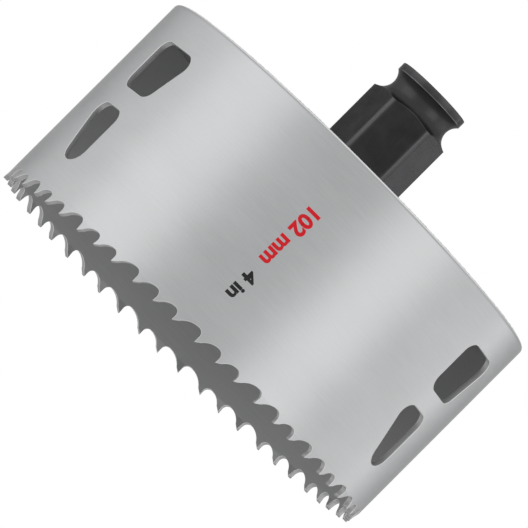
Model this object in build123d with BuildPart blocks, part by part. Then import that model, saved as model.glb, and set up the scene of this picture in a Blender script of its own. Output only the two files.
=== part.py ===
from build123d import *
import os
from dataclasses import dataclass
from math import acos, cos, degrees, pi, radians, sin, tan

# Hole saw: a toothed steel strip rolled into a ring, welded round a disc, with a quick-change adapter
# screwed into the disc. The saw stands on its teeth. The origin is on the axis at the tooth tips, +Z runs
# to the shank and the front is -Y. Azimuths are counted from +X towards +Y.

# Driving dimensions, in millimetres and degrees

# The cup
body_diameter = 102.0
cup_height = 51.1
strip_thickness = 1.2
back_edge_radius = 0.95
back_edge_cuts = 2
seam_azimuth = -1.3

# The disc that closes the cup
plate_thickness = 4.8
plate_edge_chamfer = 0.5
plate_clearance = 0.03
pin_hole_diameter = 7.0
pin_circle_diameter = 29.0
pin_hole_count = 4
pin_hole_azimuth = 45.0

# Teeth, in the repeating order inward, outward, plain along the strip
pitch_after_inward = 6.15
pitch_after_outward = 5.6
pitch_after_plain = 6.6
gullet_after_inward = 2.6
gullet_after_outward = 2.4
gullet_after_plain = 2.8
gullet_radius = 1.3
gullet_step = 0.03
rake_angle = 2.0
land_width = 1.2
land_angle = 33.7
tooth_set = 0.33
set_line_height = 2.3
shortest_seam_gap = 6.0
cutter_margin = 0.2

# Slots, measured along the strip from the edge that each pair shares, and up from the tooth tips
slot_pair_count = 3
first_slot_azimuth = 78.8
chip_slot_bottom = 29.8
chip_slot_top = 42.9
chip_slot_top_width = 14.3
chip_slot_bottom_width = 12.1
slot_corner_radius = 2.8
lever_slot_bottom = 10.0
lever_slot_top = 24.8
lever_slot_start = -0.8
lever_slot_end = 9.66
lever_slot_nose_radius = 3.5

# Quick-change adapter, with heights above the disc's outer face
hex_across_flats = 18.0
hex_turned_diameter = 20.3
groove_radius = 3.3
groove_waist_diameter = 15.3
groove_cuts = 4
groove_from_end = 4.3
collar_diameter = 17.7
adapter_height = 24.9
collar_chamfer = 0.25
stud_diameter = 15.8
stud_length = 6.3
stud_clearance = 0.05
pilot_bore_diameter = 10.0
pilot_bore_chamfer = 0.5

# Lengths that follow from them
body_radius = body_diameter / 2
strip_inner_radius = body_radius - strip_thickness
strip_middle_radius = body_radius - strip_thickness / 2
strip_length = pi * body_diameter
pattern_length = pitch_after_inward + pitch_after_outward + pitch_after_plain
pattern_count = int((strip_length - shortest_seam_gap) / pattern_length)
seam_gap = strip_length - pattern_count * pattern_length
plate_inner_face = cup_height - plate_thickness
slot_spacing = round(pattern_count / slot_pair_count) * pattern_length


def arc_chain(centre, radius, start, end, cuts):
    """Points on an arc between two angles. Straight cuts from one to the next keep the mesh light."""
    angles = [radians(start + (end - start) * cut / cuts) for cut in range(cuts + 1)]
    return [(centre[0] + radius * cos(angle), centre[1] + radius * sin(angle)) for angle in angles]


def turn_along_strip(length):
    """Angle at the saw's axis of a length measured along the outside of the strip."""
    return degrees(length / body_radius)


def strip_plane(azimuth):
    """Plane in the middle of the strip: x runs along it, y up the saw and z outwards."""
    outwards = Vector(1, 0, 0).rotate(Axis.Z, azimuth)
    along = Vector(0, 1, 0).rotate(Axis.Z, azimuth)
    return Plane(origin=outwards * strip_middle_radius, x_dir=along, z_dir=outwards)


@dataclass
class ToothForm:
    """A form of tooth: its bend outwards, the gullet on each side, and where it repeats along the strip."""

    lean: float
    gullet_before: float
    pitch_after: float
    gullet_after: float
    first_azimuth: float
    count: int


def strip_block(section, start, end):
    """Stretch of ring with the given section, between two lengths along the strip from +X."""
    with BuildPart() as block:
        with BuildSketch(Plane.XZ):
            with BuildLine():
                Polyline(*section, close=True)
            make_face()
        revolve(axis=Axis.Z, revolution_arc=turn_along_strip(end - start))
    return block.part.rotate(Axis.Z, turn_along_strip(start))


def straight_window(form):
    """Room below the set line for a tooth that leans, from one gullet to the next."""
    inside = strip_inner_radius - strip_thickness
    outside = body_radius + strip_thickness
    section = [(inside, set_line_height), (outside, set_line_height), (outside, -cutter_margin),
               (inside, -cutter_margin)]
    side = cutter_margin / 2
    return strip_block(section, side - gullet_radius, form.pitch_after - gullet_radius - side)


def leaning_blank(form):
    """Strip below the set line, bent inwards or outwards, from which one tooth is milled."""
    section = [(strip_inner_radius, set_line_height), (body_radius, set_line_height),
               (body_radius + form.lean, 0), (strip_inner_radius + form.lean, 0)]
    side = cutter_margin
    return strip_block(section, side - gullet_radius, form.pitch_after - gullet_radius - side)


def gullet_cutter(form):
    """Cutter that leaves one tooth with its tip on +X: the rounded gullet before it and the sloping side
    of the gullet after it. The sloping side ends a step lower, inside the next cutter's round."""
    tip = (0, 0)
    land_end = (land_width, land_width * tan(radians(land_angle)))
    rake_height = form.gullet_before - gullet_radius
    rake_root = (rake_height * tan(radians(rake_angle)), rake_height)
    top_before = (-gullet_radius, form.gullet_before)
    top_after = (form.pitch_after - gullet_radius, form.gullet_after - gullet_step)
    start = -2 * gullet_radius - rake_root[0]
    end = top_after[0] + cutter_margin / 2
    with BuildPart() as cutter:
        with BuildSketch(strip_plane(0)):
            with BuildLine():
                Line(tip, land_end)
                TangentArc(top_after, land_end, tangent=(-1, 0))
                Polyline(top_after, (end, top_after[1]), (end, -cutter_margin), (start, -cutter_margin),
                         (start, rake_height))
                ThreePointArc((start, rake_height), top_before, rake_root)
                Line(rake_root, tip)
            make_face()
        extrude(amount=2 * strip_thickness, both=True)
    return cutter.part


def chip_slot_punch(azimuth):
    """Punch for the upper, four-cornered slot, whose straight edge stands at the azimuth."""
    low = chip_slot_bottom + slot_corner_radius
    high = chip_slot_top - slot_corner_radius
    left = slot_corner_radius
    middle = chip_slot_top_width / 2
    corners = [
        (left - middle, low),
        (left - middle, high),
        (chip_slot_top_width - slot_corner_radius - middle, high),
        (chip_slot_bottom_width - slot_corner_radius - middle, low),
    ]
    with BuildPart() as punch:
        with BuildSketch(strip_plane(azimuth + turn_along_strip(middle))):
            with Locations(*corners):
                Circle(slot_corner_radius)
            make_hull()
        extrude(amount=2 * strip_thickness, both=True)
    return punch.part


def lever_slot_punch(azimuth):
    """Punch for the lower slot, which narrows to a round nose towards the teeth."""
    high = lever_slot_top - slot_corner_radius
    middle = (lever_slot_start + lever_slot_end) / 2
    corners = [
        (lever_slot_start + slot_corner_radius - middle, high),
        (lever_slot_end - slot_corner_radius - middle, high),
    ]
    nose = (lever_slot_end - lever_slot_nose_radius - middle, lever_slot_bottom + lever_slot_nose_radius)
    with BuildPart() as punch:
        with BuildSketch(strip_plane(azimuth + turn_along_strip(middle))):
            with Locations(*corners):
                Circle(slot_corner_radius)
            with Locations(nose):
                Circle(lever_slot_nose_radius)
            make_hull()
        extrude(amount=2 * strip_thickness, both=True)
    return punch.part


# Places along the strip, as azimuths
first_inward = seam_azimuth + turn_along_strip(seam_gap / 2)
first_outward = first_inward + turn_along_strip(pitch_after_inward)
first_plain = first_outward + turn_along_strip(pitch_after_outward)
pattern_turn = turn_along_strip(pattern_length)
last_inward = first_inward + pattern_count * pattern_turn

# The forms of tooth: the last one before the seam closes the gap that is left over
inward_tooth = ToothForm(-tooth_set, gullet_after_plain, pitch_after_inward, gullet_after_inward,
                         first_inward, pattern_count)
outward_tooth = ToothForm(tooth_set, gullet_after_inward, pitch_after_outward, gullet_after_outward,
                          first_outward, pattern_count)
plain_tooth = ToothForm(0, gullet_after_outward, pitch_after_plain, gullet_after_plain,
                        first_plain, pattern_count)
closing_tooth = ToothForm(-tooth_set, gullet_after_plain, seam_gap, gullet_after_plain, last_inward, 1)

# Saw band
with BuildPart() as saw_band:
    with BuildSketch(Plane.XZ):
        with BuildLine():
            edge_centre = (body_radius - back_edge_radius, cup_height - back_edge_radius)
            Polyline((strip_inner_radius, 0), (body_radius, 0),
                     *arc_chain(edge_centre, back_edge_radius, 0, 90, back_edge_cuts),
                     (strip_inner_radius, cup_height), close=True)
        make_face()
    revolve(axis=Axis.Z)
    for form in (inward_tooth, outward_tooth, closing_tooth):
        with PolarLocations(0, form.count, form.first_azimuth, form.count * pattern_turn):
            add(straight_window(form), mode=Mode.SUBTRACT)
    for form in (inward_tooth, outward_tooth, closing_tooth):
        with PolarLocations(0, form.count, form.first_azimuth, form.count * pattern_turn):
            add(leaning_blank(form))
    for form in (inward_tooth, outward_tooth, plain_tooth, closing_tooth):
        with PolarLocations(0, form.count, form.first_azimuth, form.count * pattern_turn):
            add(gullet_cutter(form), mode=Mode.SUBTRACT)
    for pair in range(slot_pair_count):
        slot_azimuth = first_slot_azimuth + turn_along_strip(pair * slot_spacing)
        add(chip_slot_punch(slot_azimuth), mode=Mode.SUBTRACT)
        add(lever_slot_punch(slot_azimuth), mode=Mode.SUBTRACT)

# Back plate
with BuildPart() as back_plate:
    with BuildSketch(Plane.XY.offset(plate_inner_face)):
        Circle(strip_inner_radius - plate_clearance)
        Circle(stud_diameter / 2 + stud_clearance, mode=Mode.SUBTRACT)
        with PolarLocations(pin_circle_diameter / 2, pin_hole_count, pin_hole_azimuth):
            Circle(pin_hole_diameter / 2, mode=Mode.SUBTRACT)
    extrude(amount=plate_thickness)
    weld_edge = back_plate.faces().sort_by(Axis.Z)[-1].outer_wire().edges()
    chamfer(weld_edge, length=plate_edge_chamfer)

# Hex adapter
adapter_top = cup_height + adapter_height
hex_radius = hex_turned_diameter / 2
collar_radius = collar_diameter / 2
groove_centre = (groove_waist_diameter / 2 + groove_radius, adapter_top - groove_from_end)


def groove_angle(radius):
    """Angle at the groove's centre, from straight inwards, at which its arc reaches a radius."""
    return degrees(acos((groove_centre[0] - radius) / groove_radius))


with BuildPart() as hex_adapter:
    with BuildSketch(Plane.XY.offset(cup_height)):
        RegularPolygon(hex_across_flats / 2, 6, major_radius=False)
    extrude(amount=adapter_height)
    groove_start = 180 - groove_angle(collar_radius)
    groove_end = 180 + groove_angle(hex_radius)
    with BuildSketch(Plane.XZ):
        with BuildLine():
            Polyline((0, cup_height), (0, adapter_top), (collar_radius - collar_chamfer, adapter_top),
                     (collar_radius, adapter_top - collar_chamfer),
                     *arc_chain(groove_centre, groove_radius, groove_start, groove_end, groove_cuts),
                     (hex_radius, cup_height), close=True)
        make_face()
    revolve(axis=Axis.Z, mode=Mode.INTERSECT)
    with BuildSketch(Plane.XY.offset(cup_height)):
        Circle(stud_diameter / 2)
    extrude(amount=-stud_length)
    with Locations((0, 0, adapter_top)):
        Hole(pilot_bore_diameter / 2)
    bore_mouth = hex_adapter.faces().sort_by(Axis.Z)[-1].inner_wires().edges()
    chamfer(bore_mouth, length=pilot_bore_chamfer)

saw_band.part.label = "saw_band"
back_plate.part.label = "back_plate"
hex_adapter.part.label = "hex_adapter"

os.makedirs("parts", exist_ok=True)
export_step(saw_band.part, "parts/saw_band.step")
export_step(back_plate.part, "parts/back_plate.step")
export_step(hex_adapter.part, "parts/hex_adapter.step")
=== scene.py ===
"""Dresses the hole saw: toothed and slotted steel band, welded back plate and black quick-change adapter."""

import logging
from dataclasses import dataclass, field
from enum import Enum
from functools import partial
from math import acos, asin, atan2, ceil, cos, hypot, pi, radians, sin, tan
from typing import Any, Callable, Sequence

import bmesh
import bpy
from mathutils import Matrix, Vector
from mathutils.geometry import delaunay_2d_cdt


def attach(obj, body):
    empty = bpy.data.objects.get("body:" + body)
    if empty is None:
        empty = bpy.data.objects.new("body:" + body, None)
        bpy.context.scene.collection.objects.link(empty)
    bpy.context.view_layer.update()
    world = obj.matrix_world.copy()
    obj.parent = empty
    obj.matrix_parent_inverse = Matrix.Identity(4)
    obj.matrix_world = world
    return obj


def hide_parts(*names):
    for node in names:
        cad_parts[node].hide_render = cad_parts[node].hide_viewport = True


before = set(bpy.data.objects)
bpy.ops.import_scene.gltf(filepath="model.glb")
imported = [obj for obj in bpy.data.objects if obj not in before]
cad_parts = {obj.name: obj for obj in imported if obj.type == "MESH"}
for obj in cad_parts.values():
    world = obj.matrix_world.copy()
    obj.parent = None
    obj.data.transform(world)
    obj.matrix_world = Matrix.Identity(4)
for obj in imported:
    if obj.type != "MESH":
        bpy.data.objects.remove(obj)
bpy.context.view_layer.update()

MM = 0.001
WELD_DISTANCE = 0.003 * MM
SEAM_AZIMUTH = radians(-1.3)
FILL_INSIDE = 1
FILL_TOLERANCE = 1e-6
MIX_SHARE = 0
MIX_FIRST = 6
MIX_SECOND = 7
MIX_RESULT = 2

Point = tuple[float, float]
Triple = tuple[float, float, float]
Loop = list[Point]
Marks = dict[str, float]
Settings = dict[str, Any]
Values = dict[str | int, Any]

log = logging.getLogger("hole_saw")


# Node trees

class Signal:
    """A socket of a node tree that Python's operators can work on."""

    def __init__(self, sheet: "NodeSheet", socket: bpy.types.NodeSocket) -> None:
        """Keeps the tree and the socket."""
        self.sheet = sheet
        self.socket = socket

    def math(self, operation: str, *others: Any) -> "Signal":
        """Adds a Math node.

        Args:
            operation: The Math node's operation.
            others: Numbers or signals that follow this one.

        Returns:
            The node's result.
        """
        values = dict(enumerate((self, *others)))
        return self.sheet.out("ShaderNodeMath", {"operation": operation}, values)

    def __add__(self, other: Any) -> "Signal":
        """Sum."""
        return self.math("ADD", other)

    __radd__ = __add__

    def __sub__(self, other: Any) -> "Signal":
        """Difference."""
        return self.math("SUBTRACT", other)

    def __rsub__(self, other: float) -> "Signal":
        """Difference with the number first."""
        return self.sheet.out("ShaderNodeMath", {"operation": "SUBTRACT"}, {0: other, 1: self})

    def __mul__(self, other: Any) -> "Signal":
        """Product."""
        return self.math("MULTIPLY", other)

    __rmul__ = __mul__

    def __truediv__(self, other: Any) -> "Signal":
        """Quotient."""
        return self.math("DIVIDE", other)

    def __rtruediv__(self, other: float) -> "Signal":
        """Quotient with the number first."""
        return self.sheet.out("ShaderNodeMath", {"operation": "DIVIDE"}, {0: other, 1: self})

    def ramp(self, low: float, high: float, to_low: float = 0.0, to_high: float = 1.0) -> "Signal":
        """Maps a range smoothly to another and holds it at both ends.

        Args:
            low: Value that gives to_low.
            high: Value that gives to_high.
            to_low: Result at and below low.
            to_high: Result at and above high.

        Returns:
            The mapped value.
        """
        return self.sheet.out(
            "ShaderNodeMapRange",
            {"interpolation_type": "SMOOTHSTEP", "clamp": True},
            {"Value": self, "From Min": low, "From Max": high, "To Min": to_low, "To Max": to_high},
        )


class NodeSheet:
    """A shader, world or geometry node tree that is filled by short calls."""

    def __init__(self, tree: bpy.types.NodeTree) -> None:
        """Empties the tree and keeps it."""
        tree.nodes.clear()
        self.tree = tree

    def node(self, kind: str, settings: Settings | None = None,
             values: Values | None = None) -> bpy.types.Node:
        """Adds a node, sets it up and feeds its sockets.

        Args:
            kind: The node's type.
            settings: Properties to set first.
            values: Numbers, colours, objects or signals, by the socket's name or number.

        Returns:
            The node.
        """
        node = self.tree.nodes.new(kind)
        for name, value in (settings or {}).items():
            setattr(node, name, value)
        for name, value in (values or {}).items():
            socket = node.inputs[name]
            if isinstance(value, Signal):
                self.tree.links.new(value.socket, socket)
            else:
                socket.default_value = value
        return node

    def out(self, kind: str, settings: Settings | None = None,
            values: Values | None = None, output: str | int = 0) -> Signal:
        """Adds a node as node() does.

        Args:
            kind: The node's type.
            settings: Properties to set first.
            values: Numbers, colours, objects or signals, by the socket's name or number.
            output: Name or number of the output.

        Returns:
            That output.
        """
        return Signal(self, self.node(kind, settings, values).outputs[output])

    def vector(self, x: Any = 0.0, y: Any = 0.0, z: Any = 0.0) -> Signal:
        """A vector from its three parts."""
        return self.out("ShaderNodeCombineXYZ", None, {0: x, 1: y, 2: z})

    def split(self, vector: Signal) -> list[Signal]:
        """The three parts of a vector."""
        parts = self.node("ShaderNodeSeparateXYZ", None, {0: vector}).outputs
        return [Signal(self, part) for part in parts]


class SurfaceSheet(NodeSheet):
    """A material's node tree, with what the finishes share."""

    def __init__(self, name: str) -> None:
        """Makes an empty material.

        Args:
            name: The material's name.
        """
        self.material = bpy.data.materials.new(name)
        self.material.use_nodes = True
        super().__init__(self.material.node_tree)
        self.place = self.out("ShaderNodeTexCoord", output="Object")
        self.x, self.y, self.z = self.split(self.place)

    def attribute(self, name: str) -> Signal:
        """A number kept at the mesh's corners."""
        return self.out("ShaderNodeAttribute", {"attribute_name": name}, output="Fac")

    def noise(self, size: float, detail: float = 3.0, stretch: Triple = (1, 1, 1),
              vector: Signal | None = None) -> Signal:
        """Noise from 0 to 1.

        Args:
            size: Size of its marks in metres.
            detail: Number of finer layers.
            stretch: How many times longer the marks are along each axis.
            vector: Coordinates, or None for the piece's own.

        Returns:
            The noise.
        """
        spread = self.out(
            "ShaderNodeMapping", None,
            {"Vector": vector or self.place, "Scale": tuple(1 / (size * part) for part in stretch)},
        )
        return self.out("ShaderNodeTexNoise", None, {"Vector": spread, "Scale": 1.0, "Detail": detail})

    def mix(self, share: Signal, first: Any, second: Any) -> Signal:
        """A colour between two colours.

        Args:
            share: 0 for the first colour and 1 for the second.
            first: Colour or signal.
            second: Colour or signal.

        Returns:
            The mixed colour.
        """
        values: Values = {MIX_SHARE: share}
        for socket, colour in ((MIX_FIRST, first), (MIX_SECOND, second)):
            values[socket] = colour if isinstance(colour, Signal) else (*colour, 1.0)
        return self.out("ShaderNodeMix", {"data_type": "RGBA"}, values, MIX_RESULT)

    def bump(self, height: Signal, depth: float) -> Signal:
        """A normal bent by a height from 0 to 1 that stands for a depth in metres."""
        return self.out("ShaderNodeBump", None, {"Strength": 1.0, "Distance": depth, "Height": height})

    def finish(self, values: Values) -> bpy.types.Material:
        """Ends the tree in a Principled surface.

        Args:
            values: What its sockets get, by name.

        Returns:
            The material.
        """
        surface = self.out("ShaderNodeBsdfPrincipled", None, values)
        self.node("ShaderNodeOutputMaterial", None, {"Surface": surface})
        return self.material


def grey(level: float) -> tuple[float, ...]:
    """A grey for a colour socket."""
    return (level, level, level, 1.0)


def tinted(colour: Triple, factors: Sequence[float]) -> list[tuple[float, ...]]:
    """A colour made darker or lighter by each of several factors."""
    return [tuple(factor * part for part in colour) for factor in factors]


# Finishes

@dataclass(frozen=True)
class SatinStrip:
    """Cold-rolled strip: satin grain along the band, duller and painted darker inside the cup as shade,
    duller at the cuts, and bright at the edges as wear and painted highlight.
    """

    colour: Triple = (0.371, 0.376, 0.380)
    inner_painted_shade_colour: Triple = (0.345, 0.347, 0.35)
    worn_colour: Triple = (0.78, 0.785, 0.79)
    ground_colour: Triple = (0.37, 0.37, 0.375)
    seam_colour: Triple = (0.27, 0.27, 0.28)
    shades: tuple[float, float] = (0.93, 1.07)
    grazing_tint: float = 0.46
    roughness: float = 0.40
    inner_roughness: float = 0.74
    ground_roughness: float = 0.60
    streak_size: float = 0.30 * MM
    streak_stretch: float = 26
    cloud_size: float = 11 * MM
    cloud_stretch: float = 2
    grain_size: float = 0.16 * MM
    grain_depth: float = 0.006 * MM
    seam_width: float = 0.9 * MM

    def material(self, radius: float) -> bpy.types.Material:
        """Builds the material.

        Args:
            radius: The band's radius in metres.

        Returns:
            The material.
        """
        sheet = SurfaceSheet("satin_strip_steel")
        turn = sheet.y.math("ARCTAN2", sheet.x)
        rolled = sheet.vector(turn * radius, sheet.z)
        streaks = sheet.noise(self.streak_size, 4.0, (self.streak_stretch, 1, 1), rolled)
        cloud = sheet.noise(self.cloud_size, 2.0, (self.cloud_stretch, 1, 1), rolled)
        grain = sheet.noise(self.grain_size, 2.0)
        worn = sheet.attribute("worn")
        ground = sheet.attribute("ground")
        from_seam = ((turn - SEAM_AZIMUTH) * radius).math("ABSOLUTE")
        seam = from_seam.ramp(0.2 * self.seam_width, self.seam_width, 1, 0)
        inner = (0 - sheet.attribute("side")).math("MAXIMUM", 0.0)
        tone = streaks * 0.16 + cloud * 0.14 + grain * 0.10
        colour = sheet.mix(tone.ramp(0.10, 0.30), *tinted(self.colour, self.shades))
        colour = sheet.mix(seam * 0.5, colour, self.seam_colour)
        # Painted shade: the inner face is made darker to stand for the shade inside the cup.
        colour = sheet.mix(inner, colour, self.inner_painted_shade_colour)
        colour = sheet.mix(ground, colour, self.ground_colour)
        # Painted highlight with some wear: marked edges of teeth, slots and back rim are lifted towards a
        # near-white colour.
        colour = sheet.mix(worn * (0.65 + 0.5 * grain), colour, self.worn_colour)
        rough = self.roughness + (streaks - 0.5) * 0.12 + (cloud - 0.5) * 0.05
        rough = rough + inner * (self.inner_roughness - self.roughness)
        rough = rough + ground * (self.ground_roughness - self.roughness) * (1 - worn)
        return sheet.finish({
            "Base Color": colour,
            "Metallic": 1.0,
            "Roughness": rough,
            "Specular Tint": grey(self.grazing_tint),
            "Normal": sheet.bump(streaks * 0.6 + grain * 0.4 + seam, self.grain_depth),
        })


@dataclass(frozen=True)
class TurnedPlate:
    """Grey steel plate with fine turning rings and heat colour next to the weld."""

    colour: Triple = (0.34, 0.345, 0.35)
    heat_colour: Triple = (0.235, 0.222, 0.212)
    worn_colour: Triple = (0.55, 0.56, 0.57)
    shades: tuple[float, float] = (0.86, 1.12)
    grazing_tint: float = 0.8
    roughness: float = 0.40
    wander_size: float = 3.0 * MM
    grain_size: float = 0.25 * MM
    ring_depth: float = 0.005 * MM
    ring_pitch: float = 0.35 * MM
    heat_width: float = 2.6 * MM

    def material(self, radius: float) -> bpy.types.Material:
        """Builds the material.

        Args:
            radius: The disc's radius in metres.

        Returns:
            The material.
        """
        sheet = SurfaceSheet("turned_plate_steel")
        span = (sheet.x * sheet.x + sheet.y * sheet.y).math("SQRT")
        face = sheet.attribute("side").math("ABSOLUTE")
        rings = (span * (2 * pi / self.ring_pitch)).math("SINE") * 0.5 * face + 0.5
        wander = sheet.noise(self.wander_size, 3.0)
        grain = sheet.noise(self.grain_size, 2.0)
        tone = (rings * 0.25 + grain * 0.35 + wander * 0.6).ramp(0.3, 0.9)
        heat = span.ramp(radius - self.heat_width, radius) * (0.35 + 0.4 * wander)
        colour = sheet.mix(heat, sheet.mix(tone, *tinted(self.colour, self.shades)), self.heat_colour)
        # Lighter rounded edges: wear and painted edge highlight.
        colour = sheet.mix(sheet.attribute("worn") * 0.6, colour, self.worn_colour)
        return sheet.finish({
            "Base Color": colour,
            "Metallic": 1.0,
            "Roughness": self.roughness + (rings - 0.5) * 0.06 + (wander - 0.5) * 0.12,
            "Specular Tint": grey(self.grazing_tint),
            "Normal": sheet.bump(rings * 0.7 + grain * 0.3, self.ring_depth),
        })


@dataclass(frozen=True)
class WeldBead:
    """Rippled weld with faint straw-coloured blotches."""

    colour: Triple = (0.42, 0.42, 0.42)
    tint: Triple = (0.33, 0.305, 0.275)
    grazing_tint: float = 0.5
    roughness: float = 0.34
    blotch_size: float = 2.2 * MM
    grain_size: float = 0.2 * MM
    grain_depth: float = 0.01 * MM

    def material(self) -> bpy.types.Material:
        """Builds the material.

        Returns:
            The material.
        """
        sheet = SurfaceSheet("rim_weld_steel")
        blotch = sheet.noise(self.blotch_size, 3.0)
        grain = sheet.noise(self.grain_size, 2.0)
        return sheet.finish({
            "Base Color": sheet.mix(blotch.ramp(0.45, 0.75), self.colour, self.tint),
            "Metallic": 1.0,
            "Roughness": self.roughness + (blotch - 0.5) * 0.2,
            "Specular Tint": grey(self.grazing_tint),
            "Normal": sheet.bump(grain, self.grain_depth),
        })


@dataclass(frozen=True)
class BlackOxide:
    """Black oxide on drawn and turned steel: faint lathe rings, draw lines on the flats, and paler edges and
    corner strips that are painted highlights with some wear.
    """

    colour: Triple = (0.031, 0.031, 0.0325)
    edge_wear_and_highlight_colour: Triple = (0.155, 0.155, 0.16)
    turned_colour: Triple = (0.062, 0.062, 0.064)
    shades: tuple[float, float] = (0.80, 1.30)
    grazing_tint: float = 0.15
    metallic: float = 0.65
    specular_level: float = 0.42
    roughness: float = 0.17
    turned_rise: float = 0.14
    blotch_size: float = 3.5 * MM
    grain_size: float = 0.14 * MM
    draw_line_size: float = 0.25 * MM
    draw_line_stretch: float = 30
    mark_depth: float = 0.004 * MM
    ring_pitch: float = 0.22 * MM

    def material(self) -> bpy.types.Material:
        """Builds the material.

        Returns:
            The material.
        """
        sheet = SurfaceSheet("black_oxide_steel")
        edge = sheet.attribute("worn")
        turned = sheet.attribute("turned")
        blotch = sheet.noise(self.blotch_size, 3.0)
        grain = sheet.noise(self.grain_size, 2.0)
        drawn = sheet.noise(self.draw_line_size, 3.0, (1, 1, self.draw_line_stretch))
        rings = (sheet.z * (2 * pi / self.ring_pitch)).math("SINE") * 0.5 + 0.5
        marks = turned * rings + (1 - turned) * drawn
        tone = (blotch * 0.6 + marks * 0.25 + grain * 0.2).ramp(0.3, 0.8)
        colour = sheet.mix(tone, *tinted(self.colour, self.shades))
        colour = sheet.mix(turned * 0.5, colour, self.turned_colour)
        # Painted highlight: arrises, bore edges and the turned corner strips are lifted towards a paler grey.
        colour = sheet.mix(edge * (0.35 + 0.75 * grain), colour, self.edge_wear_and_highlight_colour)
        rough = self.roughness + turned * self.turned_rise
        return sheet.finish({
            "Base Color": colour,
            "Metallic": self.metallic,
            "Roughness": rough + (blotch - 0.5) * 0.10 + (marks - 0.5) * 0.07,
            "Specular IOR Level": self.specular_level,
            "Specular Tint": grey(self.grazing_tint),
            "Normal": sheet.bump(marks * 0.6 + grain * 0.4, self.mark_depth),
        })


@dataclass(frozen=True)
class MarkingInk:
    """Printed ink, slightly worn so that the steel shows through in specks."""

    name: str
    colour: Triple
    specular_level: float = 0.2
    roughness: float = 0.45
    speck_size: float = 0.22 * MM
    speck_depth: float = 0.003 * MM
    cloud_size: float = 2.5 * MM

    def material(self) -> bpy.types.Material:
        """Builds the material.

        Returns:
            The material.
        """
        sheet = SurfaceSheet(self.name)
        speck = sheet.noise(self.speck_size, 3.0)
        cloud = sheet.noise(self.cloud_size, 2.0)
        thin = tuple(part * 0.9 + 0.012 for part in self.colour)
        return sheet.finish({
            "Base Color": sheet.mix(cloud.ramp(0.3, 0.7), self.colour, thin),
            "Metallic": 0.0,
            "Specular IOR Level": self.specular_level,
            "Roughness": self.roughness + (cloud - 0.5) * 0.2,
            "Alpha": speck.ramp(0.72, 0.80, 1.0, 0.5),
            "Normal": sheet.bump(speck, self.speck_depth),
        })


# Meshes

class MeshBuilder:
    """Collects faces and, for each corner, the numbers that the finishes and the shading read."""

    def __init__(self, *names: str) -> None:
        """Starts an empty mesh.

        Args:
            names: Names of the numbers at its corners.
        """
        self.points: list[Vector] = []
        self.faces: list[tuple[int, ...]] = []
        self.values: dict[str, list[float]] = {name: [] for name in names}

    def point(self, place: Vector, **values: float) -> int:
        """Adds a corner.

        Args:
            place: Where it is.
            values: Its numbers by name, 0 for those left out.

        Returns:
            Its place in the list.
        """
        self.points.append(place)
        for name, store in self.values.items():
            store.append(values.get(name, 0.0))
        return len(self.points) - 1

    def rows(self, rows: Sequence[Sequence[int]], closed: bool) -> None:
        """Joins rows of corners with four-sided faces.

        Args:
            rows: Rows of corner numbers, all of one length.
            closed: True if each row's end meets its start.
        """
        count = len(rows[0])
        for low, high in zip(rows, rows[1:]):
            for start in range(count if closed else count - 1):
                end = (start + 1) % count
                self.faces.append((low[start], low[end], high[end], high[start]))

    def mesh(self, name: str) -> bpy.types.Mesh:
        """Makes the mesh, with its numbers as attributes.

        Args:
            name: Its name.

        Returns:
            The mesh.
        """
        mesh = bpy.data.meshes.new(name)
        mesh.from_pydata(self.points, [], self.faces)
        for value_name, store in self.values.items():
            layer = mesh.attributes.new(value_name, "FLOAT", "POINT")
            layer.data.foreach_set("value", store)
        mesh.update()
        return mesh


def close_mesh(mesh: bpy.types.Mesh) -> int:
    """Merges doubles, turns the faces outwards and shades smooth.

    Args:
        mesh: The mesh, changed in place.

    Returns:
        How many edges don't have exactly two faces.
    """
    work = bmesh.new()
    work.from_mesh(mesh)
    bmesh.ops.remove_doubles(work, verts=work.verts, dist=WELD_DISTANCE)
    bmesh.ops.recalc_face_normals(work, faces=work.faces)
    open_edges = sum(1 for edge in work.edges if len(edge.link_faces) != 2)
    work.to_mesh(mesh)
    work.free()
    mesh.shade_smooth()
    return open_edges


def shade_sheets(mesh: bpy.types.Mesh, outward: Callable[[Vector, Vector], Vector]) -> None:
    """Gives face corners on the broad sheets their exact normal, and leaves the others to Blender.

    Args:
        mesh: A mesh with the attribute "side": 1 on the outer sheet, -1 on the inner one and 0 elsewhere.
        outward: The outer sheet's normal at a corner, by the corner's place and the middle of its face.
    """
    sides = [0.0] * len(mesh.vertices)
    mesh.attributes["side"].data.foreach_get("value", sides)
    normals = [Vector((0, 0, 0))] * len(mesh.loops)
    for polygon in mesh.polygons:
        for loop, corner in zip(polygon.loop_indices, polygon.vertices):
            if abs(sides[corner]) > 0.5:
                normals[loop] = outward(mesh.vertices[corner].co, polygon.center) * sides[corner]
    mesh.normals_split_custom_set(normals)


def quarter_turn(steps: int) -> list[float]:
    """Angles from none to a quarter turn."""
    return [step / steps * pi / 2 for step in range(steps + 1)]


def polar(centre: Point, radius: float, turn: float) -> Point:
    """A place at a radius and an angle from a centre."""
    return (centre[0] + radius * cos(turn), centre[1] + radius * sin(turn))


def circle(centre: Point, radius: float, count: int) -> Callable[[float], Loop]:
    """A circle's points anticlockwise, as a function of how far it is widened."""
    return lambda grow: [polar(centre, radius + grow, 2 * pi * step / count) for step in range(count)]


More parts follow.
